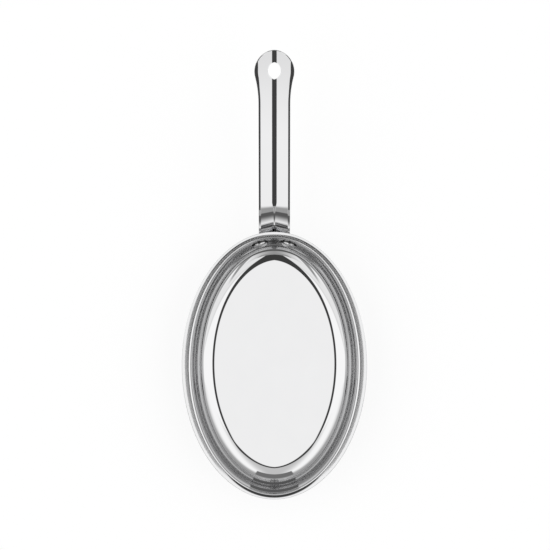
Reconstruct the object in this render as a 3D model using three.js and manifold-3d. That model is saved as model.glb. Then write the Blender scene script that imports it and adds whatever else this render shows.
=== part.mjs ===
// An oval frying pan: a bowl pressed from three bonded sheets, and a bent steel handle held on by two rivets.
// Millimetres. +Z is up, +Y runs along the handle, and the origin is the middle of the pan's underside.
import * as THREE from "three";
import { mergeGeometries, mergeVertices } from "three/addons/utils/BufferGeometryUtils.js";
import Module from "manifold-3d";

const radians = THREE.MathUtils.degToRad;

// Bowl, measured on the cooking surface
const RIM_LENGTH = 260;
const RIM_WIDTH = 180;
const DEPTH = 39;
const WALL_ANGLE = radians(80); // from level
const FILLET_RADIUS = 19.3; // between floor and wall
const LIP_RUN = 7; // at the oval's sides
const LIP_EDGE_ANGLE = radians(2.9); // slope at the lip's edge
const LIP_DISH_ANGLE = radians(3.8); // added evenly from the edge to the bend
const LIP_ROLL_ANGLE = radians(6.3); // added close to the bend
const LIP_ROLL_POWER = 5; // how close
const LIP_NARROWING = 0.35; // how much narrower lip and bend are at the oval's two ends
const NARROWING_EASE = 1; // over which the narrowing sets in

// Bonded sheets, from the cooking side outwards
const INNER_SKIN = 0.5;
const CORE = 1.5;
const OUTER_SKIN = 0.5;
const UNDER_BEND_RADIUS = 0.5; // underside of the bend from wall to lip

// Handle, one bent plate with a shallow valley along its top
const PLATE = 3;
const HANDLE_LENGTH = 169.3; // past the rim
const HANDLE_WIDTH = 29.6;
const HANDLE_TILT = radians(14.5);
const ROOT_RADIUS = 10; // top face of the bend off the wall
const STEM_DROP = 5.5; // from the rim's top down to the valley, where the stem passes under the rim's edge
const STEM_FOOT_ANGLE = radians(54); // slope there
const STEM_TOP_ANGLE = radians(36); // slope where the stem meets the neck
const STEM_RADIUS = 88.6;
const NECK_RADIUS = 23.4; // from stem to shank
const VALLEY_WIDTH = 4.5;
const VALLEY_FADE = 15; // from the root's foot to the full valley
const FACET_ANGLE = radians(20); // each side of the valley
const LAND_WIDTH = 2; // level strip outside each facet
const HEAD_LAND_WIDTH = 3.6;
const HEAD_BULGE = 4.1; // how far the round head stands out past each side of the shank
const SHOULDER_RADIUS = 100; // between shank and head
const HOLE_WIDTH = 12.3;
const HOLE_LENGTH = 15.4;
const FLANGE_WIDTH = 56;
const FLANGE_BELOW = 10; // below the rivets
const FLANGE_ABOVE = 9;
const FLANGE_CORNER = 7;

// Rivets
const RIVET_SPACING = 27;
const RIVET_RISE = 4.6; // above the foot of the straight wall
const SHANK_DIAMETER = 6;
const HEAD_DIAMETER = 14.2;
const HEAD_HEIGHT = 3;
const TAIL_DIAMETER = 9;
const TAIL_HEIGHT = 1.6;

// Clearances
const SEAT_GAP = 0.3;
const HOLE_CLEARANCE = 0.25; // round each rivet's shank

// Points closer than this are one corner of a solid
const WELD = 1e-4;

// Facet counts
const OVAL_STEPS = 56;
const FILLET_STEPS = 5;
const BEND_STEPS = 3;
const LIP_STEPS = 3;
const ROOT_STEPS = 3;
const STEM_STEPS = 4;
const NECK_STEPS = 4;
const ROUND_STEPS = 20;
const DOME_STEPS = 4;
const OUTLINE_STEPS = 10;
const CORNER_STEPS = 4;

// Lengths that follow from the driving dimensions
const WALL = INNER_SKIN + CORE + OUTER_SKIN;
const BEND_RADIUS = UNDER_BEND_RADIUS + WALL;
const RIM_HEIGHT = WALL + DEPTH;
const filletRise = FILLET_RADIUS * (1 - Math.cos(WALL_ANGLE));
const lipAngle = lipSlope(1);
const bendRise = BEND_RADIUS * (Math.cos(lipAngle) - Math.cos(WALL_ANGLE));
const lipRise = lipDrop(1);
const wallRise = DEPTH - filletRise - bendRise - lipRise;
const filletRun = FILLET_RADIUS * Math.sin(WALL_ANGLE);
const wallRun = wallRise / Math.tan(WALL_ANGLE);
const flareRun = BEND_RADIUS * (Math.sin(WALL_ANGLE) - Math.sin(lipAngle)) + LIP_RUN;
const floorHalf = RIM_WIDTH / 2 - flareRun - wallRun - filletRun;
const flareStart = RIM_WIDTH / 2 - flareRun;
const stretch = (RIM_LENGTH - RIM_WIDTH) / 2 + narrowing(flareRun);
const wallFoot = WALL + filletRise;
const rivetHeight = wallFoot + RIVET_RISE;
const shankHalf = HANDLE_WIDTH / 2;
const headRadius = shankHalf + HEAD_BULGE;
const headY = RIM_LENGTH / 2 + HANDLE_LENGTH - headRadius;
const shoulderX = shankHalf + SHOULDER_RADIUS;
const shoulderY = headY - Math.sqrt((headRadius + SHOULDER_RADIUS) ** 2 - shoulderX ** 2);
const far = 2 * (RIM_LENGTH + HANDLE_LENGTH); // longer than the whole pan, for cutting shapes

const wasm = await Module();
wasm.setup();

// A closed geometry as a solid that can be joined and cut.
function solid(geometry) {
  const bare = new THREE.BufferGeometry();
  bare.setAttribute("position", geometry.getAttribute("position"));
  bare.setIndex(geometry.index);
  const merged = mergeVertices(bare, WELD);
  const corners = merged.index.array;
  const triangles = [];
  for (let i = 0; i < corners.length; i += 3) {
    const [a, b, c] = corners.subarray(i, i + 3);
    if (a !== b && b !== c && c !== a) triangles.push(a, b, c);
  }
  const mesh = new wasm.Mesh({
    numProp: 3,
    vertProperties: merged.getAttribute("position").array,
    triVerts: new Uint32Array(triangles),
  });
  return new wasm.Manifold(mesh);
}

// A named mesh of a solid.
function piece(name, made, material) {
  const { vertProperties, triVerts } = made.getMesh();
  const geometry = new THREE.BufferGeometry();
  geometry.setAttribute("position", new THREE.BufferAttribute(vertProperties, 3));
  geometry.setIndex(new THREE.BufferAttribute(triVerts, 1));
  geometry.computeVertexNormals();
  const mesh = new THREE.Mesh(geometry, material);
  mesh.name = name;
  return mesh;
}

// Slope of the lip's top face at a share of the way in from its edge to the bend.
function lipSlope(inward) {
  return LIP_EDGE_ANGLE + LIP_DISH_ANGLE * inward + LIP_ROLL_ANGLE * inward ** LIP_ROLL_POWER;
}

// How far the lip's top face lies below its edge there.
function lipDrop(inward) {
  const roll = LIP_ROLL_POWER + 1;
  return (
    LIP_RUN *
    (LIP_EDGE_ANGLE * inward + (LIP_DISH_ANGLE * inward ** 2) / 2 + (LIP_ROLL_ANGLE * inward ** roll) / roll)
  );
}

// How much shorter than at the sides the flare is at the oval's ends, at a distance past the wall.
function narrowing(past) {
  return LIP_NARROWING * (Math.hypot(past, NARROWING_EASE) - NARROWING_EASE);
}

// Half length of the oval ring whose half width is r: the floor is stretched in proportion, the wall keeps
// one run all round, and the lip narrows towards the ends.
function halfLength(r) {
  if (r <= floorHalf) return (r * (floorHalf + stretch)) / floorHalf;
  return r + stretch - narrowing(Math.max(0, r - flareStart));
}

// The point at half width r, height z and angle turn on the oval.
function ovalPoint(r, z, turn) {
  return new THREE.Vector3(r * Math.cos(turn), halfLength(r) * Math.sin(turn), z);
}

// Points of an arc as [r, z], with the angle measured as the slope of the cooking surface.
function arc(centreR, centreZ, radius, from, to, steps) {
  return Array.from({ length: steps + 1 }, (_, i) => {
    const slope = from + ((to - from) * i) / steps;
    return [centreR + radius * Math.sin(slope), centreZ - radius * Math.cos(slope)];
  });
}

// The fillet and straight wall at a depth below the cooking surface, as [r, z] from floor edge to wall top.
function wallProfile(below) {
  const fillet = arc(floorHalf, WALL + FILLET_RADIUS, FILLET_RADIUS + below, 0, WALL_ANGLE, FILLET_STEPS);
  const [footR, footZ] = fillet.at(-1);
  return [...fillet, [footR + wallRun, footZ + wallRise]];
}

// The bend and lip at that depth, as [r, z] from wall top to lip edge.
function lipProfile(below) {
  const bendR = flareStart + BEND_RADIUS * Math.sin(WALL_ANGLE);
  const bendZ = wallFoot + wallRise - BEND_RADIUS * Math.cos(WALL_ANGLE);
  const edgeR = RIM_WIDTH / 2;
  const lip = Array.from({ length: LIP_STEPS }, (_, i) => {
    const inward = 1 - (i + 1) / LIP_STEPS;
    const slope = lipSlope(inward);
    const r = edgeR - LIP_RUN * inward + below * Math.sin(slope);
    return [Math.min(r, edgeR), RIM_HEIGHT - lipDrop(inward) - below * Math.cos(slope)];
  });
  return [...arc(bendR, bendZ, below - BEND_RADIUS, WALL_ANGLE, lipAngle, BEND_STEPS), ...lip];
}

// One whole sheet surface at that depth, from the axis to the lip edge.
function sheetSurface(below) {
  return [[0, WALL - below], ...wallProfile(below), ...lipProfile(below).slice(1)];
}

// A surface turned from a profile of [r, z] points and stretched to the oval.
function ovalSurface(profile) {
  const points = profile.map(([r, z]) => new THREE.Vector2(r, z));
  const turned = new THREE.LatheGeometry(points, OVAL_STEPS).rotateX(Math.PI / 2);
  const place = turned.getAttribute("position");
  for (let i = 0; i < place.count; i += 1) {
    const r = Math.hypot(place.getX(i), place.getY(i));
    if (r > 0) place.setY(i, (place.getY(i) * halfLength(r)) / r);
  }
  return turned;
}

// The same surface facing the other way.
function turnedOver(surface) {
  surface.setIndex(Array.from(surface.index.array).reverse());
  return surface;
}

// The sheet between two depths below the cooking surface. Neighbouring sheets share the same facets.
function sheet(top, bottom) {
  const over = sheetSurface(top);
  const under = sheetSurface(bottom);
  const edge = [under.at(-1), over.at(-1)];
  return solid(
    mergeGeometries([ovalSurface(under), ovalSurface(edge), turnedOver(ovalSurface(over))]),
  );
}

// A ring that lies against the wall between two depths.
function wallRing(top, bottom) {
  const loop = [...wallProfile(bottom), ...wallProfile(top).reverse()];
  return solid(ovalSurface([...loop, loop[0]]));
}

// Where a rivet at x crosses the cooking surface, with its axis pointing into the pan.
function rivetSeat(x) {
  const r = floorHalf + filletRun + RIVET_RISE / Math.tan(WALL_ANGLE);
  const turn = Math.acos(x / r);
  const point = ovalPoint(r, rivetHeight, turn);
  const step = 1e-3;
  const along = ovalPoint(r, rivetHeight, turn + step).sub(point);
  const up = ovalPoint(r + step / Math.tan(WALL_ANGLE), rivetHeight + step, turn).sub(point);
  const axis = new THREE.Vector3().crossVectors(along, up).normalize();
  if (axis.y > 0) axis.negate();
  return { point, axis, bulge: (r * r) / halfLength(r) };
}

// A turned solid whose profile is [radius, height along the axis], set on a rivet's seat.
function onSeat(profile, seat) {
  const points = profile.map(([r, h]) => new THREE.Vector2(r, h));
  const turned = new THREE.LatheGeometry(points, ROUND_STEPS);
  const turn = new THREE.Quaternion().setFromUnitVectors(new THREE.Vector3(0, 1, 0), seat.axis);
  return solid(turned.applyQuaternion(turn).translate(...seat.point));
}

// A plain round bar along a seat's axis.
function bar(diameter, from, to, seat) {
  const r = diameter / 2;
  return onSeat([[0, from], [r, from], [r, to], [0, to]], seat);
}

// A shallow dome of the given base diameter and height, as [radius, height] from its edge to its crown.
function domeProfile(diameter, height, base, side) {
  const half = diameter / 2;
  const radius = (half * half + height * height) / (2 * height);
  const spread = Math.asin(Math.min(1, half / radius));
  return Array.from({ length: DOME_STEPS + 1 }, (_, i) => {
    const angle = spread * (1 - i / DOME_STEPS);
    return [radius * Math.sin(angle), base + side * (height - radius * (1 - Math.cos(angle)))];
  });
}

// One rivet: a domed head in the pan, a shank through wall and flange, and a low domed tail behind.
function rivet(seat) {
  const half = HEAD_DIAMETER / 2;
  const facet = Math.PI / OVAL_STEPS;
  const curve = (half * half) / (2 * seat.bulge) + seat.bulge * facet * facet;
  const headBase = curve + SEAT_GAP / 2;
  const tailBase = -(WALL + SEAT_GAP + PLATE + SEAT_GAP);
  const shank = SHANK_DIAMETER / 2;
  return onSeat(
    [
      ...domeProfile(TAIL_DIAMETER, TAIL_HEIGHT, tailBase, -1).reverse(),
      [shank, tailBase],
      [shank, headBase],
      ...domeProfile(HEAD_DIAMETER, HEAD_HEIGHT, headBase, 1),
    ],
    seat,
  );
}

// Everything that the handle has to stay clear of: the filled bowl, grown by the seat gap.
function bowlSpace() {
  const grown = sheetSurface(WALL + SEAT_GAP);
  const [edgeR, edgeZ] = grown.at(-1);
  return solid(ovalSurface([...grown, [edgeR + SEAT_GAP, edgeZ], [edgeR + SEAT_GAP, far], [0, far]]));
}

// How far the wall behind the handle curves in at a distance x from the middle.
function wallCurve(x) {
  const half = flareStart + WALL;
  return halfLength(half) * (1 - Math.sqrt(1 - (x / half) ** 2)) * Math.sin(WALL_ANGLE);
}

// Points of a bend in side view, as {y, z, slope}, from a place and slope to another slope.
function bend(y, z, radius, from, to, steps) {
  return Array.from({ length: steps + 1 }, (_, i) => {
    const slope = from + ((to - from) * i) / steps;
    return {
      y: y + radius * (Math.sin(from) - Math.sin(slope)),
      z: z + radius * (Math.cos(slope) - Math.cos(from)),
      slope,
    };
  });
}

// The valley line in side view, as {y, z, slope}: off the wall, up the stem, round the neck and out along the shank.
function handlePath() {
  const rim = RIM_LENGTH / 2;
  const footZ = RIM_HEIGHT - STEM_DROP;
  const [topR, topZ] = wallProfile(WALL + SEAT_GAP).at(-1);
  const wallY = (z) => halfLength(topR) - (topZ - z) / Math.tan(WALL_ANGLE);
  // The root rounds the corner between the wall and the stem's line.
  const parting = 1 / Math.tan(STEM_FOOT_ANGLE) - 1 / Math.tan(WALL_ANGLE);
  const cornerZ = footZ - (rim - wallY(footZ)) / parting;
  const tangent = ROOT_RADIUS * Math.tan((WALL_ANGLE - STEM_FOOT_ANGLE) / 2);
  const rootZ = cornerZ - tangent * Math.sin(WALL_ANGLE);
  const root = bend(wallY(rootZ), rootZ, ROOT_RADIUS, WALL_ANGLE, STEM_FOOT_ANGLE, ROOT_STEPS);
  const stem = bend(rim, footZ, STEM_RADIUS, STEM_FOOT_ANGLE, STEM_TOP_ANGLE, STEM_STEPS);
  const { y, z } = stem.at(-1);
  const neck = bend(y, z, NECK_RADIUS, STEM_TOP_ANGLE, HANDLE_TILT, NECK_STEPS);
  const last = neck.at(-1);
  const shank = [shoulderY, headY, headY + headRadius + HEAD_BULGE].map((shankY) => ({
    y: shankY,
    z: last.z + (shankY - last.y) * Math.tan(HANDLE_TILT),
    slope: HANDLE_TILT,
  }));
  return [...root, ...stem, ...neck.slice(1), ...shank];
}

// The plate's top face at a place on its path, as [x, height]: at the root it follows the wall's curve, which
// gives way to the valley and its facets.
function plateTop(y, distance) {
  const brim = headRadius + HEAD_BULGE;
  const valley = VALLEY_WIDTH / 2;
  const facet = y < headY ? shankHalf - LAND_WIDTH : headRadius - HEAD_LAND_WIDTH;
  const middle = (valley + facet) / 2;
  const free = THREE.MathUtils.smoothstep(distance, 0, VALLEY_FADE);
  return [-brim, -facet, -middle, -valley, valley, middle, facet, brim].map((x) => {
    const ramp = Math.min(Math.abs(x), facet) - valley;
    return [x, (1 - free) * wallCurve(x) + free * ramp * Math.tan(FACET_ANGLE)];
  });
}

// The bent plate at its full width all along, before its outline is cut.
function bentPlate() {
  const stations = handlePath();
  let distance = 0;
  const rows = stations.map(({ y, z, slope }, s) => {
    if (s > 0) distance += Math.hypot(y - stations[s - 1].y, z - stations[s - 1].z);
    const top = plateTop(y, distance);
    const loop = [...top, ...top.map(([x, h]) => [x, h - PLATE]).reverse()];
    return loop.map(([x, h]) => [x, y - h * Math.sin(slope), z + h * Math.cos(slope)]);
  });
  const count = rows[0].length;
  const index = [];
  for (let s = 0; s + 1 < rows.length; s += 1) {
    for (let i = 0; i < count; i += 1) {
      const a = s * count + i;
      const b = s * count + ((i + 1) % count);
      index.push(a, b, a + count, b, b + count, a + count);
    }
  }
  // End caps: the loop is two rows of points, so each cap is a strip between them.
  const tail = (rows.length - 1) * count;
  for (let i = 0; i + 1 < count / 2; i += 1) {
    const over = [i, i + 1];
    const under = [count - 1 - i, count - 2 - i];
    index.push(over[0], under[0], over[1], over[1], under[0], under[1]);
    index.push(tail + over[0], tail + over[1], tail + under[0]);
    index.push(tail + over[1], tail + under[1], tail + under[0]);
  }
  const geometry = new THREE.BufferGeometry();
  geometry.setAttribute("position", new THREE.Float32BufferAttribute(rows.flat(2), 3));
  geometry.setIndex(index);
  return solid(geometry);
}

// The handle's outline seen from above: straight shank, hollow shoulders, round head and rounded-diamond hole.
function handleOutline() {
  const dip = Math.atan2(shoulderY - headY, shoulderX);
  const shape = new THREE.Shape();
  shape.moveTo(-shankHalf, 0).lineTo(shankHalf, 0).lineTo(shankHalf, shoulderY);
  shape.absarc(shoulderX, shoulderY, SHOULDER_RADIUS, Math.PI, Math.PI + dip, true);
  shape.absarc(0, headY, headRadius, dip, Math.PI - dip, false);
  shape.absarc(-shoulderX, shoulderY, SHOULDER_RADIUS, -dip, 0, true);
  shape.lineTo(-shankHalf, 0);
  shape.holes.push(hangHole(headY));
  return shape;
}

// A diamond whose corners are rounded from side middle to side middle: each round reaches three quarters out.
function hangHole(centreY) {
  const reach = 4 / 3;
  const cornerX = (reach * HOLE_WIDTH) / 2;
  const cornerY = (reach * HOLE_LENGTH) / 2;
  const hole = new THREE.Path();
  hole.moveTo(cornerX / 2, centreY + cornerY / 2);
  hole.quadraticCurveTo(0, centreY + cornerY, -cornerX / 2, centreY + cornerY / 2);
  hole.quadraticCurveTo(-cornerX, centreY, -cornerX / 2, centreY - cornerY / 2);
  hole.quadraticCurveTo(0, centreY - cornerY, cornerX / 2, centreY - cornerY / 2);
  hole.quadraticCurveTo(cornerX, centreY, cornerX / 2, centreY + cornerY / 2);
  return hole;
}

// A rounded plate outline in the x-z plane, extruded along y, that cuts the flange out of a wall ring.
function flangeBlock() {
  const half = FLANGE_WIDTH / 2;
  const low = rivetHeight - FLANGE_BELOW;
  const high = rivetHeight + FLANGE_ABOVE;
  const corner = FLANGE_CORNER;
  const shape = new THREE.Shape();
  shape.absarc(half - corner, low + corner, corner, -Math.PI / 2, 0, false);
  shape.absarc(half - corner, high - corner, corner, 0, Math.PI / 2, false);
  shape.absarc(corner - half, high - corner, corner, Math.PI / 2, Math.PI, false);
  shape.absarc(corner - half, low + corner, corner, Math.PI, 1.5 * Math.PI, false);
  const block = new THREE.ExtrudeGeometry(shape, {
    depth: far,
    bevelEnabled: false,
    curveSegments: CORNER_STEPS,
  });
  return solid(block.rotateX(Math.PI / 2).translate(0, far, 0));
}

// The whole handle: flange on the wall, and the bent plate trimmed to its outline and kept clear of the bowl.
function handle(seats) {
  const outline = new THREE.ExtrudeGeometry(handleOutline(), {
    depth: far,
    bevelEnabled: false,
    curveSegments: OUTLINE_STEPS,
  });
  const shank = bentPlate().intersect(solid(outline)).subtract(bowlSpace());
  const near = WALL + SEAT_GAP;
  const flange = wallRing(near, near + PLATE).intersect(flangeBlock());
  return drilled(shank.add(flange), seats);
}

// A solid with the rivets' holes through it.
function drilled(made, seats) {
  const bore = SHANK_DIAMETER + 2 * HOLE_CLEARANCE;
  const reach = WALL + PLATE + SEAT_GAP;
  return seats.reduce((left, seat) => left.subtract(bar(bore, -2 * reach, 2 * reach, seat)), made);
}

// Finishes
const polished = new THREE.MeshStandardMaterial({ color: 0xd6d6d8, roughness: 0.08, metalness: 1 });
const aluminium = new THREE.MeshStandardMaterial({ color: 0xbfc2c6, roughness: 0.4, metalness: 1 });
const outside = new THREE.MeshStandardMaterial({ color: 0xc8c9cb, roughness: 0.14, metalness: 1 });
const rivetSteel = new THREE.MeshStandardMaterial({ color: 0xcdced0, roughness: 0.12, metalness: 1 });

// Assembly
const seats = [-RIVET_SPACING / 2, RIVET_SPACING / 2].map(rivetSeat);
const pan = new THREE.Group();
pan.add(piece("inner_skin", drilled(sheet(0, INNER_SKIN), seats), polished));
pan.add(piece("aluminium_core", drilled(sheet(INNER_SKIN, INNER_SKIN + CORE), seats), aluminium));
pan.add(piece("outer_skin", drilled(sheet(INNER_SKIN + CORE, WALL), seats), outside));
pan.add(piece("handle", handle(seats), polished));
pan.add(piece("rivet_left", rivet(seats[0]), rivetSteel));
pan.add(piece("rivet_right", rivet(seats[1]), rivetSteel));

export default pan;
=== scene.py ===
"""Dresses an oval frying pan: finely meshed sheets, handle and rivets with steel and aluminium finishes,
in a studio of light panels and dark cards, on a pale floor, with the camera overhead."""

import math

import bmesh
import bpy
import numpy as np
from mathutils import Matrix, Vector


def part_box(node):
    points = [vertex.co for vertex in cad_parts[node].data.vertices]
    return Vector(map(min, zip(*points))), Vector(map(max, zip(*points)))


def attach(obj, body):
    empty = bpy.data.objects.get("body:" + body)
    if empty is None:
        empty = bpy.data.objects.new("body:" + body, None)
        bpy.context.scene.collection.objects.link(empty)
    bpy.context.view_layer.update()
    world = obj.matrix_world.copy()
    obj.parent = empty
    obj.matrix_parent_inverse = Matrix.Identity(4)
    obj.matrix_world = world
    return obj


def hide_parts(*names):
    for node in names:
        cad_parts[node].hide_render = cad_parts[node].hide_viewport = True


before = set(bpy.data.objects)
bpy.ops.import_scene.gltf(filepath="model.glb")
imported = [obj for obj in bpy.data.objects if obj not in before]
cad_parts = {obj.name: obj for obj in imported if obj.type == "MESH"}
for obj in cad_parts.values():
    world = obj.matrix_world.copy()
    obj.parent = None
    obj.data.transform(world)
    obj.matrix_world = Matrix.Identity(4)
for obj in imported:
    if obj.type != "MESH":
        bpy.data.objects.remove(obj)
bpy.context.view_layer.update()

# Sizes read from the frame, in metres
RIM_HALF_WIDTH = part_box("inner_skin")[1].x
RIM_HALF_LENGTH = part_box("inner_skin")[1].y
RIM_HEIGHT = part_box("inner_skin")[1].z
OUTER_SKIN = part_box("aluminium_core")[0].z
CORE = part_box("inner_skin")[0].z - OUTER_SKIN
HANDLE_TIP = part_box("handle")[1].y
FLANGE_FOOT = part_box("handle")[0].z
FLANGE_HALF_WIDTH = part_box("handle")[1].x

# Bowl
INNER_SKIN = 0.0005
WALL_ANGLE = math.radians(80)
FILLET_RADIUS = 0.0192
LIP_RUN = 0.0065
LIP_EDGE_ANGLE = math.radians(2.2)
LIP_DISH_ANGLE = math.radians(4.3)
LIP_NARROWING = 0.35
NARROWING_EASE = 0.001
POINTED_SHARE = 0.045
POINTED_PEAK = 0.286
UNDER_BEND_RADIUS = 0.0005
EDGE_ROUND = 0.00022
BAND_HAZE = 0.20
BAND_DROP = 0.00018
BAND_SOFTNESS = 0.00005
BAND_END = -0.105
BAND_FADE = 0.015

# Handle
PLATE = 0.003
SEAT_GAP = 0.0003
HANDLE_HALF_WIDTH = 0.0151
HANDLE_TILT = math.radians(14.5)
STEM_FOOT_ANGLE = math.radians(54.5)
STEM_TOP_ANGLE = math.radians(32)
STEM_DROP = 0.0055
ROOT_RADIUS = 0.010
STEM_RADIUS = 0.0707
NECK_RADIUS = 0.0288
VALLEY_HALF_WIDTH = 0.00225
NECK_VALLEY_HALF_WIDTH = 0.0006
FACET_ANGLE = math.radians(20)
LAND_WIDTH = 0.0020
HEAD_LAND_WIDTH = 0.0036
TIP_LAND_WIDTH = 0.0005
TIP_FACET_RADIUS = 0.0170
TIP_LEAN_SHARE = 0.33
TIP_SWING_END = math.radians(89.4)
KNEE_ROUND = 0.00015
PLATE_EDGE_ROUND = 0.00025
HEAD_RADIUS = 0.0189
SHOULDER_RADIUS = 0.100
HOLE_CORNER_X = 0.0082
HOLE_CORNER_Y = 0.01027
FLANGE_HEIGHT = 0.019
FLANGE_CORNER = 0.007
VALLEY_FADE = 0.015

# Rivets
RIVET_HALF_SPACING = 0.0142
RIVET_RISE = 0.0046
HEAD_HALF = 0.0081
HEAD_RISE = 0.0038
END_CURVE_RADIUS = 0.054
TAIL_HALF = 0.0045
TAIL_RISE = 0.0016
SHANK_HALF = 0.003
# Painted shade: a dark ring painted into the rivets' colour round the foot of each head, for the shadow in
# the gap where the head meets the wall
SHADE_RING_RADIUS = 0.0079
SHADE_RING_SOFTNESS = 0.0002
SHADE_RING_COLOUR = (0.05, 0.05, 0.05, 1.0)

# Mesh steps
TURN_STEPS = 360
FLOOR_STEPS = 2
FILLET_STEPS = 72
WALL_STEPS = 12
BEND_STEPS = 20
LIP_STEPS = 12
ROUND_STEPS = 5
RIVET_TURN_STEPS = 96
DOME_STEPS = 24
ROOT_STEPS = 16
STEM_STEPS = 60
NECK_STEPS = 60
SHANK_SECTIONS = 24
SHOULDER_SECTIONS = 40
HOLE_SECTIONS = 61
TIP_SECTIONS = 40
FLANGE_FILLET_SECTIONS = 24
FLANGE_WALL_SECTIONS = 40
FLANGE_COLUMNS = 40
SECTION_STEPS = (4, 4, 16, 4, 4)
MERGE_DISTANCE = 1e-7

# Lengths that follow from these
WALL = INNER_SKIN + CORE + OUTER_SKIN
BEND_RADIUS = UNDER_BEND_RADIUS + WALL
DEPTH = RIM_HEIGHT - WALL
FILLET_RISE = FILLET_RADIUS * (1 - math.cos(WALL_ANGLE))
LIP_ANGLE = LIP_EDGE_ANGLE + LIP_DISH_ANGLE
LIP_RISE = LIP_RUN * (LIP_EDGE_ANGLE + LIP_DISH_ANGLE / 2)
BEND_RISE = BEND_RADIUS * (math.cos(LIP_ANGLE) - math.cos(WALL_ANGLE))
WALL_RISE = DEPTH - FILLET_RISE - BEND_RISE - LIP_RISE
WALL_RUN = WALL_RISE / math.tan(WALL_ANGLE)
FLARE_RUN = LIP_RUN + BEND_RADIUS * (math.sin(WALL_ANGLE) - math.sin(LIP_ANGLE))
FLARE_START = RIM_HALF_WIDTH - FLARE_RUN
FLOOR_HALF = FLARE_START - WALL_RUN - FILLET_RADIUS * math.sin(WALL_ANGLE)
STRETCH = (RIM_HALF_LENGTH - RIM_HALF_WIDTH
           + LIP_NARROWING * (math.hypot(FLARE_RUN, NARROWING_EASE) - NARROWING_EASE))
WALL_FOOT = WALL + FILLET_RISE
RIVET_HEIGHT = WALL_FOOT + RIVET_RISE
SEAT_DEPTH = WALL + SEAT_GAP
FLANGE_TOP = FLANGE_FOOT + FLANGE_HEIGHT
HEAD_Y = HANDLE_TIP - HEAD_RADIUS


# Mesh helpers

def add_mesh(name, points, faces, material, node):
    """A smooth-shaded piece made of points and faces, which rides on the pan and stands for a node."""
    mesh = bpy.data.meshes.new(name)
    mesh.from_pydata(points.reshape(-1, 3).tolist(), [], [f for part in faces for f in part.tolist()])
    tidy = bmesh.new()
    tidy.from_mesh(mesh)
    bmesh.ops.remove_doubles(tidy, verts=tidy.verts, dist=MERGE_DISTANCE)
    tidy.to_mesh(mesh)
    tidy.free()
    mesh.polygons.foreach_set("use_smooth", np.ones(len(mesh.polygons), bool))
    mesh.materials.append(material)
    piece = bpy.data.objects.new(name, mesh)
    bpy.context.scene.collection.objects.link(piece)
    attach(piece, "root")
    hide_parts(node)
    return piece


def grid_quads(rows, columns, closed):
    """Corner numbers of the quads of a grid of rows by columns, whose columns may close on themselves."""
    row = np.arange(rows - 1)[:, None] * columns
    column = np.arange(columns if closed else columns - 1)[None, :]
    following = (column + 1) % columns
    return np.stack([row + column, row + following, row + columns + following, row + columns + column],
                    axis=-1).reshape(-1, 4)


def smooth_step(value, low, high):
    """0 below low, 1 above high and a smooth rise between them."""
    share = np.clip((value - low) / (high - low), 0, 1)
    return share * share * (3 - 2 * share)


# Bowl

def half_length(r):
    """Half length of the oval ring of half width r: floor in proportion, wall at one run, lip narrowing."""
    past = np.maximum(0, r - FLARE_START)
    outside = r + STRETCH - LIP_NARROWING * (np.hypot(past, NARROWING_EASE) - NARROWING_EASE)
    return np.where(r <= FLOOR_HALF, r * (FLOOR_HALF + STRETCH) / FLOOR_HALF, outside)


def cooking_profile():
    """Half widths, heights and slopes of the cooking surface, from its middle to the lip's edge: a flat
    floor, a fillet arc, a straight wall, a bend arc, and a lip whose slope grows evenly inwards."""
    floor = np.zeros(FLOOR_STEPS)
    floor_r = np.linspace(0, FLOOR_HALF, FLOOR_STEPS + 1)[1:]
    fillet = np.linspace(0, WALL_ANGLE, FILLET_STEPS + 1)[1:]
    fillet_r = FLOOR_HALF + FILLET_RADIUS * np.sin(fillet)
    fillet_z = WALL + FILLET_RADIUS * (1 - np.cos(fillet))
    climb = np.linspace(0, 1, WALL_STEPS + 1)[1:]
    wall = np.full(WALL_STEPS, WALL_ANGLE)
    bend = np.linspace(WALL_ANGLE, LIP_ANGLE, BEND_STEPS + 1)[1:]
    bend_r = FLARE_START + BEND_RADIUS * (math.sin(WALL_ANGLE) - np.sin(bend))
    bend_z = WALL_FOOT + WALL_RISE + BEND_RADIUS * (np.cos(bend) - math.cos(WALL_ANGLE))
    inward = np.linspace(1, 0, LIP_STEPS + 1)[1:]
    lip = LIP_EDGE_ANGLE + LIP_DISH_ANGLE * inward
    lip_drop = LIP_RUN * inward * (LIP_EDGE_ANGLE + LIP_DISH_ANGLE * inward / 2)
    r = np.concatenate([floor_r, fillet_r, fillet_r[-1] + WALL_RUN * climb, bend_r,
                        RIM_HALF_WIDTH - LIP_RUN * inward])
    z = np.concatenate([floor + WALL, fillet_z, fillet_z[-1] + WALL_RISE * climb, bend_z,
                        RIM_HEIGHT - lip_drop])
    return r, z, np.concatenate([floor, fillet, wall, bend, lip])


def sheet_rows(below):
    """Half widths and heights of the surface that lies a depth below the cooking surface, square to it."""
    r, z, slope = cooking_profile()
    out = np.minimum(r + below * np.sin(slope), RIM_HALF_WIDTH)
    return np.stack([out, z - below * np.cos(slope)], axis=1)


def edge_rows(over, under):
    """The lip's edge from the upper corner to the lower one: a small round, the upright face and a round."""
    turn = np.linspace(0, math.pi / 2, ROUND_STEPS + 1)
    out = over[0] - EDGE_ROUND + EDGE_ROUND * np.sin(turn)
    drop = EDGE_ROUND * (1 - np.cos(turn))
    upper = np.stack([out, over[1] - drop], axis=1)
    lower = np.stack([out, under[1] + drop], axis=1)[::-1]
    return np.concatenate([upper, lower])


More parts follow.
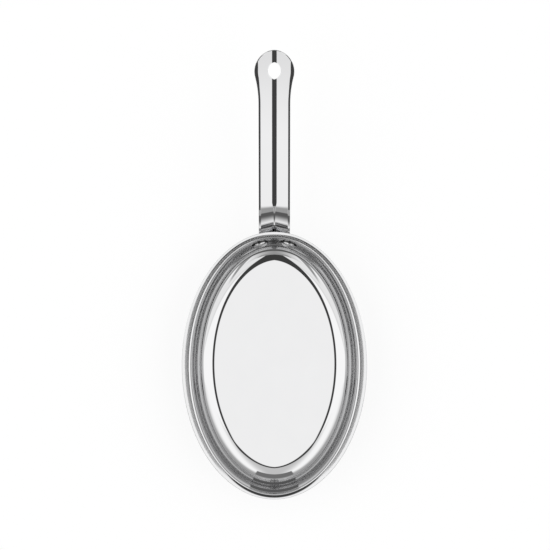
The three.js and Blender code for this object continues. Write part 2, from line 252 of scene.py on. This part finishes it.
def oval_ring(r, turn):
    """Plan places x and y of the rings of half widths r. Inside the wall's top each ring lies square to the
    oval there and a little further in beside the ends, and the floor shrinks in proportion. Outside it x is
    the half width times the cosine and y the half length times the sine of the turn."""
    half_width = FLARE_START
    half_long = half_length(np.array(FLARE_START))
    across = np.cos(turn)
    along = np.sin(turn)
    pointed = 1 + POINTED_SHARE * along**4 * np.abs(across) / POINTED_PEAK
    inset = (FLARE_START - np.clip(r, FLOOR_HALF, FLARE_START)) * pointed
    steepness = np.hypot(across / half_width, along / half_long)
    flare = np.maximum(r, FLARE_START)
    x = (flare - inset / (half_width * steepness)) * across
    y = (half_length(flare) - inset / (half_long * steepness)) * along
    shrink = np.minimum(r / FLOOR_HALF, 1)
    return x * shrink, y * shrink


def lip_lift(turn):
    """How far each row of the cooking profile rises by the handle, where the lip is narrower: the lip and its
    bend shrink in height as they do in width, and the wall grows to meet them."""
    _, z, _ = cooking_profile()
    wall_top = WALL_FOOT + WALL_RISE
    across = np.cos(turn)**2 / FLARE_START
    along = np.sin(turn)**2 / half_length(np.array(FLARE_START))
    narrowing = LIP_NARROWING * along / (across + along) * smooth_step(np.sin(turn), 0, 0.7)
    climb = np.clip((z - WALL_FOOT) / WALL_RISE, 0, 1)
    drop = np.where(z > wall_top, RIM_HEIGHT - z, (RIM_HEIGHT - wall_top) * climb)
    return drop[:, None] * narrowing


def sheet_piece(name, part, top, bottom, material):
    """One bonded sheet: the closed profile of its two surfaces and its edge, carried round the middle."""
    over = sheet_rows(top)
    under = sheet_rows(bottom)
    edge = edge_rows(over[-1], under[-1])
    rows = np.concatenate([over[:-1], edge, under[-2::-1]])
    turn = np.linspace(0, 2 * math.pi, TURN_STEPS, endpoint=False)
    x, y = oval_ring(rows[:, :1], turn)
    lift = lip_lift(turn)
    z = rows[:, 1:] + np.concatenate([lift[:-1], np.zeros((len(edge), TURN_STEPS)), lift[-2::-1]])
    ring = np.stack([x, y, z], axis=-1)
    poles = np.array([[0, 0, WALL - top], [0, 0, WALL - bottom]])
    points = np.concatenate([ring.reshape(-1, 3), poles])
    quads = grid_quads(len(rows), TURN_STEPS, True)[:, ::-1]
    spoke = np.arange(TURN_STEPS)
    onward = (spoke + 1) % TURN_STEPS
    last = (len(rows) - 1) * TURN_STEPS
    upper_fan = np.stack([spoke, onward, np.full(TURN_STEPS, len(points) - 2)], axis=1)
    lower_fan = np.stack([last + onward, last + spoke, np.full(TURN_STEPS, len(points) - 1)], axis=1)
    return add_mesh(name, points, [quads, upper_fan, lower_fan], material, part)


# Handle

def wall_line(z):
    """Where the handle's seat on the wall lies along y at a height, in the middle of the handle."""
    top_r = FLARE_START + SEAT_DEPTH * math.sin(WALL_ANGLE)
    top_z = WALL_FOOT + WALL_RISE - SEAT_DEPTH * math.cos(WALL_ANGLE)
    return half_length(top_r) - (top_z - z) / math.tan(WALL_ANGLE)


def flange_stations():
    """Plan places y, heights and slopes of the flange's sections: round the fillet and up the wall."""
    centre_z = WALL + FILLET_RADIUS
    radius = FILLET_RADIUS + SEAT_DEPTH
    fillet = np.linspace(math.acos((centre_z - FLANGE_FOOT) / radius), WALL_ANGLE,
                         FLANGE_FILLET_SECTIONS)
    fillet_z = centre_z - radius * np.cos(fillet)
    wall_z = np.linspace(fillet_z[-1], FLANGE_TOP, FLANGE_WALL_SECTIONS)[1:]
    y = np.concatenate([half_length(FLOOR_HALF + radius * np.sin(fillet)), wall_line(wall_z)])
    tilt = np.concatenate([fillet, np.full(len(wall_z), WALL_ANGLE)])
    return y, np.concatenate([fillet_z, wall_z]), tilt


def handle_stations():
    """Plan places y, heights, slopes and distances past the root of the handle's sections: off the wall, up
    the stem, round the neck, along the shank with closer sections at the shoulders and the hole, and out to
    the tip."""
    def cotangent(angle):
        return 1 / math.tan(angle)

    def arc(y, z, radius, start, end, steps):
        slope = np.linspace(start, end, steps + 1)
        return (y + radius * (math.sin(start) - np.sin(slope)),
                z + radius * (np.cos(slope) - math.cos(start)), slope)

    # The stem's foot lies under the rim's edge, and the root rounds the corner between its line and the wall
    foot_z = RIM_HEIGHT - STEM_DROP
    corner_z = foot_z - ((RIM_HALF_LENGTH - wall_line(foot_z))
                         / (cotangent(STEM_FOOT_ANGLE) - cotangent(WALL_ANGLE)))
    tangent = ROOT_RADIUS * math.tan((WALL_ANGLE - STEM_FOOT_ANGLE) / 2)
    root_start = corner_z - tangent * math.sin(WALL_ANGLE)
    root_y, root_z, root_slope = arc(wall_line(root_start), root_start, ROOT_RADIUS,
                                     WALL_ANGLE, STEM_FOOT_ANGLE, ROOT_STEPS)
    stem_y, stem_z, stem_slope = arc(RIM_HALF_LENGTH, foot_z, STEM_RADIUS,
                                     STEM_FOOT_ANGLE, STEM_TOP_ANGLE, STEM_STEPS)
    neck_y, neck_z, neck_slope = arc(stem_y[-1], stem_z[-1], NECK_RADIUS,
                                     STEM_TOP_ANGLE, HANDLE_TILT, NECK_STEPS)

    # The hole's two end parabolas peak at three quarters of its corner height
    reach = 0.75 * HOLE_CORNER_Y
    swing = np.linspace(-math.pi / 2, math.pi / 2, HOLE_SECTIONS)
    tip_swing = np.linspace(math.asin(reach / HEAD_RADIUS), TIP_SWING_END, TIP_SECTIONS)
    shoulder_y = HEAD_Y - math.sqrt((HEAD_RADIUS + SHOULDER_RADIUS)**2
                                    - (HANDLE_HALF_WIDTH + SHOULDER_RADIUS)**2)
    shank_y = np.concatenate([
        np.linspace(neck_y[-1], shoulder_y, SHANK_SECTIONS)[1:],
        np.linspace(shoulder_y, HEAD_Y - reach, SHOULDER_SECTIONS)[1:],
        HEAD_Y + reach * np.sin(swing)[1:],
        HEAD_Y + HEAD_RADIUS * np.sin(tip_swing)[1:],
    ])
    shank_z = neck_z[-1] + (shank_y - neck_y[-1]) * math.tan(HANDLE_TILT)

    y = np.concatenate([root_y, stem_y, neck_y[1:], shank_y])
    z = np.concatenate([root_z, stem_z, neck_z[1:], shank_z])
    tilt = np.concatenate([root_slope, stem_slope, neck_slope[1:], np.full(len(shank_y), HANDLE_TILT)])
    return y, z, tilt, np.concatenate([[0], np.cumsum(np.hypot(np.diff(y), np.diff(z)))])


def flange_half_width(z):
    """Half width of the flange at a height: straight sides and rounded corners."""
    into = np.clip(FLANGE_CORNER - np.minimum(z - FLANGE_FOOT, FLANGE_TOP - z), 0, FLANGE_CORNER)
    return FLANGE_HALF_WIDTH - FLANGE_CORNER + np.sqrt(FLANGE_CORNER**2 - into**2)


def handle_half_width(y):
    """Half width of each section: straight shank, hollow shoulders and round head."""
    head_x = HANDLE_HALF_WIDTH + SHOULDER_RADIUS
    drop = math.sqrt((HEAD_RADIUS + SHOULDER_RADIUS)**2 - head_x**2)
    shoulder_y = HEAD_Y - drop
    joint_y = HEAD_Y - drop * HEAD_RADIUS / (HEAD_RADIUS + SHOULDER_RADIUS)
    past = np.clip(y - shoulder_y, 0, SHOULDER_RADIUS)
    shoulder = head_x - np.sqrt(SHOULDER_RADIUS**2 - past**2)
    head = np.sqrt(np.clip(HEAD_RADIUS**2 - (y - HEAD_Y)**2, 0, None))
    return np.where(y > joint_y, head, np.where(y > shoulder_y, shoulder, HANDLE_HALF_WIDTH))


def hole_half_width(y):
    """Half width of the rounded-diamond hole: each corner is a parabola that meets the next one midway."""
    along = np.abs(y - HEAD_Y) / HOLE_CORNER_Y
    side = HOLE_CORNER_X * (3 - 4 * along**2) / 4
    end = HOLE_CORNER_X / 2 * np.sqrt(np.clip(3 - 4 * along, 0, None))
    return np.where(along <= 0.5, side, end)


def knee(x, at):
    """A ramp that starts at a place, with its corner eased by a short parabola."""
    ease = np.clip((x - at + KNEE_ROUND) / (2 * KNEE_ROUND), 0, 1)
    return np.where(x > at + KNEE_ROUND, x - at, ease**2 * KNEE_ROUND)


def section_columns(inner, valley, facet, outer):
    """Places across each half section, with columns set at the eased corners of valley, facet and land."""
    def spread(start, end, steps):
        share = np.linspace(0, 1, steps + 1)[None, :-1]
        return start[:, None] + (end - start)[:, None] * share

    eased = [np.clip(place, inner, outer) for place in
             (valley - KNEE_ROUND, valley + KNEE_ROUND, facet - KNEE_ROUND, facet + KNEE_ROUND)]
    edges = [inner, *np.maximum.accumulate(eased), outer]
    parts = [spread(a, b, n) for a, b, n in zip(edges[:-1], edges[1:], SECTION_STEPS)]
    return np.concatenate([*parts, outer[:, None]], axis=1)


def wall_curve(across):
    """How far the wall behind the handle curves in at each place across it."""
    half = FLARE_START + WALL
    return half_length(half) * (1 - np.sqrt(1 - (across / half)**2)) * math.sin(WALL_ANGLE)


def plate_piece(name, y, z, tilt, width, hole, across, rise, material):
    """A bent plate: each section's closed half outline is the top face, a rounded edge, the same line below
    and a rounded inner edge, carried along the path; the other half is its mirror image."""
    turn = np.linspace(0, math.pi / 2, ROUND_STEPS + 1)
    round_out = (width - across[:, -1])[:, None]
    round_in = (across[:, 0] - hole)[:, None]
    out_x = across[:, -1:] + round_out * np.sin(turn)
    out_drop = round_out * (1 - np.cos(turn))
    in_x = across[:, :1] - round_in * np.sin(turn)
    in_drop = round_in * (1 - np.cos(turn))
    outer_rise = rise[:, -1:]
    inner_rise = rise[:, :1]
    x = np.concatenate([in_x[:, :0:-1], across, out_x[:, 1:],
                        out_x[:, :0:-1], across[:, ::-1], in_x[:, 1:]], axis=1)
    h = np.concatenate([inner_rise - in_drop[:, :0:-1], rise, outer_rise - out_drop[:, 1:],
                        outer_rise - PLATE + out_drop[:, :0:-1], rise[:, ::-1] - PLATE,
                        inner_rise - PLATE + in_drop[:, 1:]], axis=1)
    sine = np.sin(tilt)[:, None]
    cosine = np.cos(tilt)[:, None]
    right = np.stack([x, y[:, None] - h * sine, z[:, None] + h * cosine], axis=-1)
    left = right * np.array([-1, 1, 1])

    rows, columns = x.shape
    quads = grid_quads(rows, columns, True)
    inside = np.all(right.reshape(-1, 3)[quads][:, :, 0] < 1e-9, axis=1)
    quads = quads[~inside]
    half = columns // 2
    upper = np.arange(half - 1)
    lower = columns - 1 - upper
    foot_cap = np.stack([upper, lower, lower - 1, upper + 1], axis=1)
    tip_cap = foot_cap[:, ::-1] + (rows - 1) * columns
    faces = np.concatenate([quads, foot_cap, tip_cap])
    mirrored = faces[:, ::-1] + rows * columns
    points = np.concatenate([right.reshape(-1, 3), left.reshape(-1, 3)])
    return add_mesh(name, points, [faces, mirrored], material, "handle")


def flange_piece(material):
    """The flange: a plate with rounded corners that follows the wall's curve."""
    y, z, tilt = flange_stations()
    width = flange_half_width(z)
    across = (width - PLATE_EDGE_ROUND)[:, None] * np.linspace(0, 1, FLANGE_COLUMNS)
    plate_piece("handle_flange", y, z, tilt, width, np.zeros_like(y), across, wall_curve(across), material)


def handle_piece(material):
    """The stem, neck, shank and head: the top face follows the wall's curve at the root, which gives way to a
    valley, a facet on either side and a level land outside it."""
    y, z, tilt, past_root = handle_stations()
    width = handle_half_width(y)
    hole = hole_half_width(y)
    round_out = np.minimum(PLATE_EDGE_ROUND, 0.5 * (width - hole))
    round_in = np.minimum(PLATE_EDGE_ROUND, 0.5 * hole)
    land = LAND_WIDTH + (HEAD_LAND_WIDTH - LAND_WIDTH) * smooth_step(
        width, HANDLE_HALF_WIDTH, HEAD_RADIUS)
    facet = np.where(y > HEAD_Y, HEAD_RADIUS - HEAD_LAND_WIDTH, width - land)
    # Round the tip the land tapers between the head's circle and a smaller one
    tip_y = HANDLE_TIP - TIP_LAND_WIDTH - TIP_FACET_RADIUS
    facet = np.minimum(facet, np.sqrt(np.clip(TIP_FACET_RADIUS**2 - np.clip(y - tip_y, 0, None)**2, 0, None)))
    bent = smooth_step(tilt, HANDLE_TILT, STEM_TOP_ANGLE)
    valley = VALLEY_HALF_WIDTH + (NECK_VALLEY_HALF_WIDTH - VALLEY_HALF_WIDTH) * bent
    facet = np.maximum(facet, valley)
    across = section_columns(hole + round_in, valley, facet, width - round_out)
    lean = TIP_LEAN_SHARE * smooth_step(y, HEAD_Y + HEAD_RADIUS / 3, HEAD_Y + HEAD_RADIUS / 2)
    ramp = knee(across, valley[:, None]) - knee(across, facet[:, None]) * (1 - lean[:, None])
    free = smooth_step(past_root, 0, VALLEY_FADE)[:, None]
    rise = (1 - free) * wall_curve(across) + free * math.tan(FACET_ANGLE) * ramp
    plate_piece("handle_plate", y, z, tilt, width, hole, across, rise, material)


# Rivets

def rivet_seat(side):
    """Where a rivet crosses the cooking surface, its axis into the pan, and two directions square to it."""
    r = FLOOR_HALF + FILLET_RADIUS * math.sin(WALL_ANGLE) + (RIVET_HEIGHT - WALL_FOOT) / math.tan(WALL_ANGLE)
    x = side * RIVET_HALF_SPACING
    length = float(half_length(np.array(r)))
    y = length * math.sqrt(1 - (x / r)**2)
    outward = np.array([x / r**2, y / length**2, 0])
    outward /= np.linalg.norm(outward)
    axis = -outward * math.sin(WALL_ANGLE) + np.array([0, 0, math.cos(WALL_ANGLE)])
    first = np.cross(axis, [0, 0, 1])
    first /= np.linalg.norm(first)
    return np.array([x, y, RIVET_HEIGHT]), axis, first, np.cross(axis, first)


def dome_rows(half, rise):
    """Radii and heights of a round-edged dome, from its foot to its crown: a quarter of a flattened oval."""
    turn = np.linspace(0, math.pi / 2, DOME_STEPS + 1)[:-1]
    return np.stack([half * np.cos(turn)**0.8, rise * np.sin(turn)**0.9], axis=1)


def rivet_piece(name, side, material):
    """A rivet: the profile of head, shank and tail turned about the rivet's axis. The head's foot is set by
    how far the wall curves within the head's width."""
    seat, axis, first, second = rivet_seat(side)
    curve = HEAD_HALF**2 / (2 * END_CURVE_RADIUS)
    tail_foot = -(WALL + PLATE + 2 * SEAT_GAP)
    head = dome_rows(HEAD_HALF, HEAD_RISE) + np.array([0, 0.6 * curve])
    skirt = np.array([[SHANK_HALF, tail_foot], [SHANK_HALF, -0.5 * curve], [HEAD_HALF, -0.3 * curve]])
    tail = (dome_rows(TAIL_HALF, TAIL_RISE) * np.array([1, -1]) + np.array([0, tail_foot]))[::-1]
    rows = np.concatenate([tail, skirt, head])
    turn = np.linspace(0, 2 * math.pi, RIVET_TURN_STEPS, endpoint=False)
    spread = first * np.cos(turn)[:, None] + second * np.sin(turn)[:, None]
    ring = seat + rows[:, None, 1:] * axis + rows[:, None, :1] * spread
    poles = np.stack([seat + (tail_foot - TAIL_RISE) * axis, seat + (0.6 * curve + HEAD_RISE) * axis])
    points = np.concatenate([ring.reshape(-1, 3), poles])
    quads = grid_quads(len(rows), RIVET_TURN_STEPS, True)
    spoke = np.arange(RIVET_TURN_STEPS)
    onward = (spoke + 1) % RIVET_TURN_STEPS
    last = (len(rows) - 1) * RIVET_TURN_STEPS
    tail_fan = np.stack([onward, spoke, np.full(RIVET_TURN_STEPS, len(points) - 2)], axis=1)
    head_fan = np.stack([last + spoke, last + onward, np.full(RIVET_TURN_STEPS, len(points) - 1)], axis=1)
    return add_mesh(name + "_head", points, [quads, tail_fan, head_fan], material, name)


# Finishes

def node(tree, kind, settings=None, **inputs):
    """A shader node with its settings and inputs, where an input is a value or another node's output."""
    made = tree.nodes.new(kind)
    for key, value in (settings or {}).items():
        setattr(made, key, value)
    for key, value in inputs.items():
        socket = made.inputs[int(key[1:]) if key[1:].isdigit() else key.replace("_", " ")]
        if isinstance(value, bpy.types.NodeSocket):
            tree.links.new(value, socket)
        else:
            socket.default_value = value
    return made


def polish_group():
    """Polish marks as a group: fine scratches and slow unevenness, as a height, a haze and a tint share."""
    group = bpy.data.node_groups.new("polish_marks", "ShaderNodeTree")
    for label, default in (("Scratch Scale", 1.0), ("Cloud Scale", 1.0)):
        socket = group.interface.new_socket(label, in_out="INPUT", socket_type="NodeSocketFloat")
        socket.default_value = default
    for label in ("Height", "Haze", "Tint"):
        group.interface.new_socket(label, in_out="OUTPUT", socket_type="NodeSocketFloat")
    entry = group.nodes.new("NodeGroupInput")
    leave = group.nodes.new("NodeGroupOutput")
    place = node(group, "ShaderNodeTexCoord").outputs["Object"]
    drawn = node(group, "ShaderNodeMapping", Vector=place, Scale=(1.0, 0.06, 1.0))
    scratch = node(group, "ShaderNodeTexNoise", Vector=drawn.outputs["Vector"],
                   Scale=entry.outputs["Scratch Scale"], Detail=4.0, Roughness=0.7)
    cloud = node(group, "ShaderNodeTexNoise", Vector=place, Scale=entry.outputs["Cloud Scale"], Detail=3.0)
    haze = node(group, "ShaderNodeMath", {"operation": "MULTIPLY"},
                _0=scratch.outputs["Fac"], _1=cloud.outputs["Fac"])
    group.links.new(scratch.outputs["Fac"], leave.inputs["Height"])
    group.links.new(haze.outputs["Value"], leave.inputs["Haze"])
    group.links.new(cloud.outputs["Fac"], leave.inputs["Tint"])
    return group


def metal(name, marks, dark, light, smooth, rough, scratch_scale, cloud_scale, bump):
    """A metal whose tint and roughness wander between two values and whose scratches stand a little proud."""
    material = bpy.data.materials.new(name)
    material.use_nodes = True
    tree = material.node_tree
    shader = tree.nodes["Principled BSDF"]
    shader.inputs["Metallic"].default_value = 1.0
    polish = node(tree, "ShaderNodeGroup", {"node_tree": marks},
                  Scratch_Scale=scratch_scale, Cloud_Scale=cloud_scale)
    tint = node(tree, "ShaderNodeMix", {"data_type": "RGBA"}, _0=polish.outputs["Tint"],
                _6=(*dark, 1.0), _7=(*light, 1.0))
    haze = node(tree, "ShaderNodeMapRange", Value=polish.outputs["Haze"], To_Min=smooth, To_Max=rough)
    relief = node(tree, "ShaderNodeBump", Height=polish.outputs["Height"], Strength=bump, Distance=0.0001)
    tree.links.new(tint.outputs[2], shader.inputs["Base Color"])
    tree.links.new(haze.outputs["Result"], shader.inputs["Roughness"])
    tree.links.new(relief.outputs["Normal"], shader.inputs["Normal"])
    return material


def lip_band(material):
    """Makes a metal hazier in a band along the inner half of the lip, which fades opposite the handle."""
    tree = material.node_tree
    roughness = tree.nodes["Principled BSDF"].inputs["Roughness"]
    smooth = roughness.links[0].from_socket
    place = node(tree, "ShaderNodeSeparateXYZ", Vector=node(tree, "ShaderNodeTexCoord").outputs["Object"])
    band = BAND_HAZE
    for mask in (edge_mask(tree, place.outputs["Z"], RIM_HEIGHT - LIP_RISE, BAND_SOFTNESS, True),
                 edge_mask(tree, place.outputs["Z"], RIM_HEIGHT - BAND_DROP, BAND_SOFTNESS, False),
                 edge_mask(tree, place.outputs["Y"], BAND_END, BAND_FADE, True)):
        band = node(tree, "ShaderNodeMath", {"operation": "MULTIPLY"}, _0=mask, _1=band).outputs["Value"]
    hazy = node(tree, "ShaderNodeMath", {"operation": "ADD"}, _0=smooth, _1=band)
    tree.links.new(hazy.outputs["Value"], roughness)


def paint_foot_shade(material, at, axis):
    """Paints shade into a rivet's metal: darkens its colour round the foot of its head, by the distance from
    the axis, for the shadow in the gap where the head meets the wall. The rivets are mirror images, so the
    left one is read as the right one."""
    tree = material.node_tree
    shader = tree.nodes["Principled BSDF"]
    tint = shader.inputs["Base Color"].links[0].from_socket
    place = node(tree, "ShaderNodeVectorMath", {"operation": "ABSOLUTE"},
                 _0=node(tree, "ShaderNodeTexCoord").outputs["Object"])
    offset = node(tree, "ShaderNodeVectorMath", {"operation": "SUBTRACT"}, _0=place.outputs["Vector"], _1=at)
    cross = node(tree, "ShaderNodeVectorMath", {"operation": "CROSS_PRODUCT"},
                 _0=offset.outputs["Vector"], _1=axis)
    radius = node(tree, "ShaderNodeVectorMath", {"operation": "LENGTH"}, _0=cross.outputs["Vector"])
    # Painted shade: 1 outside the ring's radius, where the rivet's colour is darkened to stand for the shadow
    # under the head
    foot = edge_mask(tree, radius.outputs["Value"], SHADE_RING_RADIUS, SHADE_RING_SOFTNESS, True)
    dark = node(tree, "ShaderNodeMix", {"data_type": "RGBA"}, _0=foot, _6=tint, _7=SHADE_RING_COLOUR)
    tree.links.new(dark.outputs[2], shader.inputs["Base Color"])


# Studio

# Light panels and dark cards hung over the pan, as rectangles on a level plane one unit above it: half width
# either side of the middle, how much it widens towards the handle, its two ends along the handle, brightness,
# softness. A later row lies over an earlier one.
CEILING = (
    ("near_light", 4.00, 0.0, -1.30, -0.40, 1.53, 0.15),
    ("far_light", 0.45, 0.0, -0.20, 1.60, 1.02, 0.30),
    ("side_light", 3.20, 0.0, -0.40, 0.12, 1.82, 0.02),
    ("head_shade", 4.00, 0.0, -0.47, -0.38, 1.30, 0.05),
    ("black_card", 0.320, 0.08, -0.95, 0.20, 0.085, 0.02),
    ("top_light", 0.155, 1.0, -0.155, 0.07, 1.68, 0.02),
    ("grey_tab", 0.45, 0.0, -1.24, -0.92, 0.55, 0.02),
)
# Cards on upright planes one unit beyond the handle (1) and opposite it (-1): half width, softness of the
# sides, how much it rises towards the sides, foot, top, softness of these, brightness.
WALLS = (
    ("far_sky", 1, 2.00, 0.30, 0.0, -1.00, 0.45, 0.30, 0.70),
    ("far_card", 1, 0.525, 0.02, 0.0, 0.26, 0.90, 0.02, 0.30),
    ("grey_card", -1, 0.45, 0.45, 0.0, 0.20, 1.05, 0.02, 0.57),
    ("slant_card", -1, 1.28, 0.22, 1.5, -0.90, -0.45, 0.04, 0.56),
    ("near_card", -1, 1.30, 0.05, -0.1, -1.00, 0.43, 0.02, 0.17),
    ("near_glow", -1, 1.30, 0.05, 0.0, -2.00, 0.10, 0.16, 1.60),
)
# Dusk low in the sky: bearing (the sine of the turn towards the handle) where it sets in, softness of that,
# whether it lies beyond the handle, height over distance where it ends, softness of that, brightness.
DUSK = (
    ("low_dusk", -2.0, 0.50, True, 0.25, 0.12, 0.80),
    ("far_dusk", 0.25, 0.50, True, 0.395, 0.305, 0.35),
    ("near_dusk", -0.42, 0.20, False, 0.30, 0.12, 0.30),
)
SIDE_LIGHT = 1.80
FLOOR_WHITE = 0.9
FLOOR_HALF_SIDE = 12.0
FLOOR_GAP = 0.0003
FLOOR_GLOW_SHARE = 0.85
LENS_LENGTH = 108.6
CAMERA_ASIDE = 0.0006
CAMERA_ALONG = 0.0880
CAMERA_RISE = 1.612


def edge_mask(tree, value, at, softness, rising):
    """0 on one side of a place and 1 on the other, with a soft border."""
    ends = (at - softness, at + softness)
    low, high = ends if rising else ends[::-1]
    made = node(tree, "ShaderNodeMapRange", {"interpolation_type": "SMOOTHSTEP"},
                Value=value, From_Min=low, From_Max=high)
    return made.outputs["Result"]


def studio_world():
    """The sky: bright sides, with the panels and cards laid over it, and plain white for the camera."""
    world = bpy.data.worlds.new("studio")
    bpy.context.scene.world = world
    world.use_nodes = True
    tree = world.node_tree
    backdrop = tree.nodes["Background"]
    place = node(tree, "ShaderNodeTexCoord").outputs["Generated"]
    parts = node(tree, "ShaderNodeSeparateXYZ", Vector=place)

    def math_of(operation, first, second=0.0):
        return node(tree, "ShaderNodeMath", {"operation": operation}, _0=first, _1=second).outputs["Value"]

    def lay(glow, brightness, *edges):
        mask = edges[0]
        for edge in edges[1:]:
            mask = math_of("MULTIPLY", mask, edge)
        return node(tree, "ShaderNodeMix", _0=mask, _2=glow, _3=brightness).outputs[0]

    side = math_of("ABSOLUTE", parts.outputs["X"])
    height = math_of("MAXIMUM", parts.outputs["Z"], 0.001)
    across = math_of("DIVIDE", side, height)
    along = math_of("DIVIDE", parts.outputs["Y"], height)
    level = math_of("SQRT", math_of("SUBTRACT", 1.0, math_of("POWER", parts.outputs["Z"], 2.0)))
    climb = math_of("DIVIDE", parts.outputs["Z"], level)
    bearing = math_of("DIVIDE", parts.outputs["Y"], level)
    glow = SIDE_LIGHT
    for _, start, side_softness, beyond, top, softness, brightness in DUSK:
        glow = lay(glow, brightness, edge_mask(tree, bearing, start, side_softness, beyond),
                   edge_mask(tree, climb, top, softness, False))
    for _, half_width, widening, near, far, brightness, softness in CEILING:
        leaning = math_of("SUBTRACT", across, math_of("MULTIPLY", along, widening))
        glow = lay(glow, brightness, edge_mask(tree, leaning, half_width, softness, False),
                   edge_mask(tree, along, near, softness, True), edge_mask(tree, along, far, softness, False))
    for _, direction, half_width, side_softness, rise, foot, top, softness, brightness in WALLS:
        depth = math_of("MAXIMUM", math_of("MULTIPLY", parts.outputs["Y"], direction), 0.001)
        sideways = math_of("DIVIDE", side, depth)
        upward = math_of("SUBTRACT", math_of("DIVIDE", parts.outputs["Z"], depth),
                         math_of("MULTIPLY", sideways, rise))
        glow = lay(glow, brightness, edge_mask(tree, sideways, half_width, side_softness, False),
                   edge_mask(tree, upward, foot, softness, True),
                   edge_mask(tree, upward, top, softness, False))
    seen = node(tree, "ShaderNodeLightPath").outputs["Is Camera Ray"]
    shown = node(tree, "ShaderNodeMix", _0=seen, _2=glow, _3=1.0)
    tree.links.new(shown.outputs[0], backdrop.inputs["Strength"])
    backdrop.inputs["Color"].default_value = (1, 1, 1, 1)


def studio_floor():
    """A wide pale floor just under the pan: it takes the pan's shadow, and looks white to eye and mirror."""
    half = FLOOR_HALF_SIDE
    mesh = bpy.data.meshes.new("floor")
    corners = np.array([[-half, -half, 0], [half, -half, 0], [half, half, 0], [-half, half, 0]])
    corners[:, 2] = -FLOOR_GAP
    mesh.from_pydata(corners.tolist(), [], [(0, 1, 2, 3)])
    floor = bpy.data.objects.new("floor", mesh)
    bpy.context.scene.collection.objects.link(floor)
    material = bpy.data.materials.new("pale_floor")
    material.use_nodes = True
    tree = material.node_tree
    tree.nodes.remove(tree.nodes["Principled BSDF"])
    paper = node(tree, "ShaderNodeBsdfDiffuse", Color=(FLOOR_WHITE, FLOOR_WHITE, FLOOR_WHITE, 1))
    white = node(tree, "ShaderNodeEmission", Color=(1, 1, 1, 1), Strength=1.0)
    path = node(tree, "ShaderNodeLightPath")
    eye = node(tree, "ShaderNodeMath", {"operation": "MAXIMUM"},
               _0=path.outputs["Is Camera Ray"], _1=path.outputs["Is Glossy Ray"])
    seen = node(tree, "ShaderNodeMath", {"operation": "MAXIMUM"},
                _0=eye.outputs["Value"], _1=path.outputs["Is Transmission Ray"])
    share = node(tree, "ShaderNodeMath", {"operation": "MULTIPLY"},
                 _0=seen.outputs["Value"], _1=FLOOR_GLOW_SHARE)
    mixed = node(tree, "ShaderNodeMixShader", _0=share.outputs["Value"],
                 _1=paper.outputs["BSDF"], _2=white.outputs["Emission"])
    tree.links.new(mixed.outputs["Shader"], tree.nodes["Material Output"].inputs["Surface"])
    mesh.materials.append(material)


def overhead_camera():
    """A long lens straight above the handle's side of the bowl, which frames the whole pan."""
    lens = bpy.data.cameras.new("overhead")
    lens.lens = LENS_LENGTH
    lens.sensor_width = 36.0
    camera = bpy.data.objects.new("overhead", lens)
    camera.location = (CAMERA_ASIDE, CAMERA_ALONG, RIM_HEIGHT + CAMERA_RISE)
    bpy.context.scene.collection.objects.link(camera)
    bpy.context.scene.camera = camera


# Making

bpy.context.scene.view_settings.view_transform = "Standard"
overhead_camera()
studio_world()
studio_floor()

marks = polish_group()
polished = metal("polished_steel", marks, (0.545, 0.545, 0.549), (0.560, 0.560, 0.564),
                 0.008, 0.025, 900.0, 40.0, 0.001)
cooking = metal("cooking_steel", marks, (0.500, 0.500, 0.503), (0.515, 0.515, 0.518),
                0.001, 0.005, 900.0, 40.0, 0.0001)
lip_band(cooking)
rivet_metal = metal("rivet_steel", marks, (0.600, 0.600, 0.604), (0.680, 0.680, 0.684),
                    0.12, 0.30, 1200.0, 120.0, 0.08)
# Painted shade: a dark ring round the foot of each rivet head is mixed into the rivet metal's colour
right_seat, right_axis, _, _ = rivet_seat(1)
paint_foot_shade(rivet_metal, right_seat, right_axis)
outside = metal("outer_steel", marks, (0.540, 0.540, 0.545), (0.560, 0.560, 0.565),
                0.05, 0.12, 1500.0, 60.0, 0.01)
bare_aluminium = metal("bare_aluminium", marks, (0.70, 0.71, 0.73), (0.76, 0.77, 0.79),
                       0.25, 0.45, 2500.0, 90.0, 0.08)

sheet_piece("cooking_sheet", "inner_skin", 0, INNER_SKIN, cooking)
sheet_piece("core_sheet", "aluminium_core", INNER_SKIN, INNER_SKIN + CORE, bare_aluminium)
sheet_piece("outside_sheet", "outer_skin", INNER_SKIN + CORE, WALL, outside)
handle_piece(polished)
flange_piece(polished)
rivet_piece("rivet_left", -1, rivet_metal)
rivet_piece("rivet_right", 1, rivet_metal)
